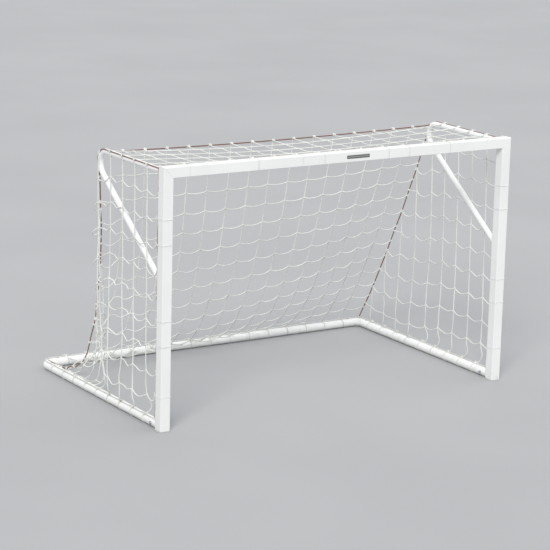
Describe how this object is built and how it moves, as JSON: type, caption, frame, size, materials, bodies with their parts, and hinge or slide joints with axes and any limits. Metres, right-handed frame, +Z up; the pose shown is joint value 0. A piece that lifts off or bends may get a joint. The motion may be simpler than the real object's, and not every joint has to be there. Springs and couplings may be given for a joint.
{
  "type": "soccer goal",
  "caption": "Portable small-sided soccer goal: square-tube front frame, round-tube ground frame, bent net supports and a square-mesh net.",
  "frame": {"origin": "on the ground in the middle of the goal's footprint: halfway between the posts, and halfway between the posts' front face and the back of the rear ground bar", "axes": "+X to the right as seen from the field, +Y from the goal mouth to the back of the net, +Z up"},
  "size_m": [1.9304, 1.232, 1.2192],
  "materials": {
    "powder_coat": "white powder coat, semi-gloss, faint orange peel",
    "zinc_hardware": "zinc plated",
    "spring_steel": "bright stainless",
    "cast_bracket": "as cast",
    "foot_plastic": "moulded, matt",
    "net_cord": "twisted and knotted off-white twine",
    "border_rope": "three-strand laid rope, faded red-brown"
  },
  "bodies": {
    "goal_frame": {"left_post": "powder_coat", "right_post": "powder_coat", "crossbar": "powder_coat", "left_corner_bracket": "cast_bracket", "left_corner_bolt": "zinc_hardware", "left_foot_cap": "foot_plastic", "left_foot_bracket": "powder_coat", "left_foot_bolt_lower": "zinc_hardware", "left_foot_rivet_nut_lower": "zinc_hardware", "left_foot_bolt_upper": "zinc_hardware", "left_foot_rivet_nut_upper": "zinc_hardware", "left_ground_bar": "powder_coat", "left_bar_bolt": "zinc_hardware", "left_bar_nut": "zinc_hardware", "left_rear_elbow": "powder_coat", "left_side_snap_spring": "spring_steel", "left_rear_snap_spring": "spring_steel", "left_net_support": "powder_coat", "left_support_top_bolt_lower": "zinc_hardware", "left_support_foot_bolt_lower": "zinc_hardware", "left_support_rivet_nut_lower": "zinc_hardware", "left_support_top_bolt_upper": "zinc_hardware", "left_support_foot_bolt_upper": "zinc_hardware", "left_support_rivet_nut_upper": "zinc_hardware", "right_corner_bracket": "cast_bracket", "right_corner_bolt": "zinc_hardware", "right_foot_cap": "foot_plastic", "right_foot_bracket": "powder_coat", "right_foot_bolt_lower": "zinc_hardware", "right_foot_rivet_nut_lower": "zinc_hardware", "right_foot_bolt_upper": "zinc_hardware", "right_foot_rivet_nut_upper": "zinc_hardware", "right_ground_bar": "powder_coat", "right_bar_bolt": "zinc_hardware", "right_bar_nut": "zinc_hardware", "right_rear_elbow": "powder_coat", "right_side_snap_spring": "spring_steel", "right_rear_snap_spring": "spring_steel", "right_net_support": "powder_coat", "right_support_top_bolt_lower": "zinc_hardware", "right_support_foot_bolt_lower": "zinc_hardware", "right_support_rivet_nut_lower": "zinc_hardware", "right_support_top_bolt_upper": "zinc_hardware", "right_support_foot_bolt_upper": "zinc_hardware", "right_support_rivet_nut_upper": "zinc_hardware", "rear_ground_bar": "powder_coat", "net_top_panel": "net_cord", "net_back_panel": "net_cord", "net_left_panel": "net_cord", "net_right_panel": "net_cord", "rear_top_rope": "border_rope", "left_corner_rope": "border_rope", "right_corner_rope": "border_rope", "net_front_rope": "border_rope", "net_ground_rope": "net_cord"},
    "left_side_snap_button_body": {"left_side_snap_button": "spring_steel"},
    "left_rear_snap_button_body": {"left_rear_snap_button": "spring_steel"},
    "right_side_snap_button_body": {"right_side_snap_button": "spring_steel"},
    "right_rear_snap_button_body": {"right_rear_snap_button": "spring_steel"}
  },
  "joints": [
    {"name": "left_side_snap_press", "type": "slide", "parent": "goal_frame", "child": "left_side_snap_button_body", "axis": [0, 0, 1], "range_m": [-0.0055, 0], "stiffness_N_per_m": 300, "springref_m": 0.003, "deforming": ["left_side_snap_spring"]},
    {"name": "left_rear_snap_press", "type": "slide", "parent": "goal_frame", "child": "left_rear_snap_button_body", "axis": [0, 0, 1], "range_m": [-0.0055, 0], "stiffness_N_per_m": 300, "springref_m": 0.003, "deforming": ["left_rear_snap_spring"]},
    {"name": "right_side_snap_press", "type": "slide", "parent": "goal_frame", "child": "right_side_snap_button_body", "axis": [0, 0, 1], "range_m": [-0.0055, 0], "stiffness_N_per_m": 300, "springref_m": 0.003, "deforming": ["right_side_snap_spring"]},
    {"name": "right_rear_snap_press", "type": "slide", "parent": "goal_frame", "child": "right_rear_snap_button_body", "axis": [0, 0, 1], "range_m": [-0.0055, 0], "stiffness_N_per_m": 300, "springref_m": 0.003, "deforming": ["right_rear_snap_spring"]}
  ]
}
